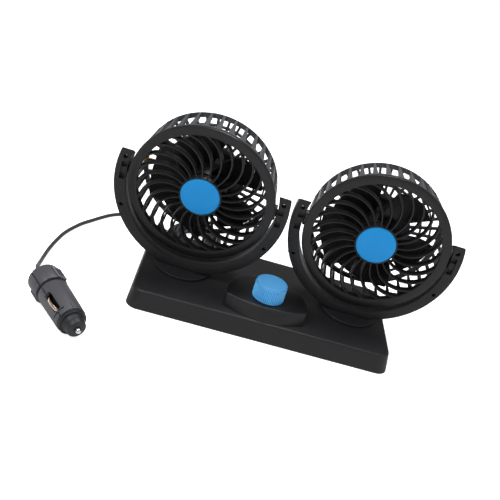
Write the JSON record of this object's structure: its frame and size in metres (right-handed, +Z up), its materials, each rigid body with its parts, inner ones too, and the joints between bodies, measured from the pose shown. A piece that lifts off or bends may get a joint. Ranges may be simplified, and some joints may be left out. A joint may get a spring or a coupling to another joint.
{
  "type": "dual head car fan",
  "caption": "Low rectangular base with a control knob, carrying fans that swivel on feet and tilt in half-ring yokes, with a plug lead.",
  "frame": {"origin": "centre of the adhesive pad's underside", "axes": "+X to the right along the base as seen from the front, +Y to the back, +Z up; the fans face -Y"},
  "size_m": [0.3075, 0.222, 0.1393],
  "materials": {
    "charcoal": "fine satin moulded plastic",
    "grille_black": "satin moulded plastic",
    "cage_black": "semi gloss moulded plastic",
    "badge_blue": "smooth blue plastic",
    "knob_blue": "ribbed blue plastic",
    "steel": "plain steel",
    "nickel": "bright plated metal",
    "contact_strip": "bright sprung strip",
    "fuse_glass": "clear tube",
    "nose_grey": "dark satin plastic",
    "plug_grey": "grey satin plastic",
    "cord_black": "flexible sheath",
    "foam_pad": "foam with an adhesive face",
    "lead_yellow": "thin insulated wires"
  },
  "bodies": {
    "base": {"adhesive_pad": "foam_pad", "base_cover": "charcoal", "base_shell": "charcoal", "cord_coil": "cord_black", "cord_gland": "charcoal", "cord_lead": "cord_black", "cord_run": "cord_black", "cover_screw_1": "steel", "cover_screw_2": "steel", "cover_screw_3": "steel", "cover_screw_4": "steel", "plug_barrel": "plug_grey", "plug_fuse": "fuse_glass", "plug_handle": "plug_grey", "plug_nose": "nose_grey", "plug_spring": "steel", "plug_strain_relief": "plug_grey", "switch_body": "charcoal"},
    "knob": {"knob": "knob_blue", "switch_shaft": "steel"},
    "plug_pin": {"plug_pin": "nickel"},
    "plug_contact_1": {"plug_contact_1": "contact_strip"},
    "plug_contact_2": {"plug_contact_2": "contact_strip"},
    "left_yoke": {"left_turntable": "charcoal", "left_swivel_nut": "charcoal", "left_yoke_front": "charcoal", "left_yoke_back": "charcoal", "left_yoke_screw_1": "steel", "left_yoke_screw_2": "steel", "left_yoke_screw_3": "steel", "left_yoke_screw_4": "steel", "left_tilt_pin_1": "charcoal", "left_tilt_pin_2": "charcoal"},
    "left_head": {"left_front_grille": "grille_black", "left_badge": "badge_blue", "left_rear_cage": "cage_black", "left_motor": "steel", "left_motor_lead": "lead_yellow"},
    "left_rotor": {"left_impeller": "grille_black", "left_motor_shaft": "steel"},
    "right_yoke": {"right_turntable": "charcoal", "right_swivel_nut": "charcoal", "right_yoke_front": "charcoal", "right_yoke_back": "charcoal", "right_yoke_screw_1": "steel", "right_yoke_screw_2": "steel", "right_yoke_screw_3": "steel", "right_yoke_screw_4": "steel", "right_tilt_pin_1": "charcoal", "right_tilt_pin_2": "charcoal"},
    "right_head": {"right_front_grille": "grille_black", "right_badge": "badge_blue", "right_rear_cage": "cage_black", "right_motor": "steel", "right_motor_lead": "lead_yellow"},
    "right_rotor": {"right_impeller": "grille_black", "right_motor_shaft": "steel"}
  },
  "joints": [
    {"name": "left_swivel", "type": "hinge", "parent": "base", "child": "left_yoke", "pos_m": [-0.068, 0, 0.0176], "axis": [0, 0, 1], "range_deg": [-170, 170]},
    {"name": "left_tilt", "type": "hinge", "parent": "left_yoke", "child": "left_head", "pos_m": [-0.068, 0, 0.0834], "axis": [0.9963, -0.0854, 0], "range_deg": [-99.25, 80.75]},
    {"name": "left_spin", "type": "hinge", "parent": "left_head", "child": "left_rotor", "pos_m": [-0.068, 0, 0.0834], "axis": [-0.0843, -0.9834, -0.1607], "continuous": true},
    {"name": "right_swivel", "type": "hinge", "parent": "base", "child": "right_yoke", "pos_m": [0.068, 0, 0.0176], "axis": [0, 0, 1], "range_deg": [-170, 170]},
    {"name": "right_tilt", "type": "hinge", "parent": "right_yoke", "child": "right_head", "pos_m": [0.068, 0, 0.0834], "axis": [0.9988, -0.0492, 0], "range_deg": [-93.7, 86.3]},
    {"name": "right_spin", "type": "hinge", "parent": "right_head", "child": "right_rotor", "pos_m": [0.068, 0, 0.0834], "axis": [-0.0491, -0.9967, -0.0645], "continuous": true},
    {"name": "knob_turn", "type": "hinge", "parent": "base", "child": "knob", "pos_m": [0, -0.03, 0.0263], "axis": [0, 0, 1], "range_deg": [-90, 0]},
    {"name": "plug_pin_slide", "type": "slide", "parent": "base", "child": "plug_pin", "axis": [0.6251, -0.7774, -0.0698], "range_m": [-0.0025, 0], "stiffness_N_per_m": 1200, "springref_m": 0.002},
    {"name": "contact_1_press", "type": "hinge", "parent": "base", "child": "plug_contact_1", "pos_m": [-0.13683, -0.10604, 0.01469], "axis": [-0.4275, -0.2662, -0.8639], "range_deg": [0, 4], "stiffness_Nm_per_rad": 0.3, "springref_deg": -2.01},
    {"name": "contact_2_press", "type": "hinge", "parent": "base", "child": "plug_contact_2", "pos_m": [-0.12638, -0.09693, 0.00671], "axis": [0.4275, 0.2662, 0.8639], "range_deg": [0, 4], "stiffness_Nm_per_rad": 0.3, "springref_deg": -2.01}
  ]
}
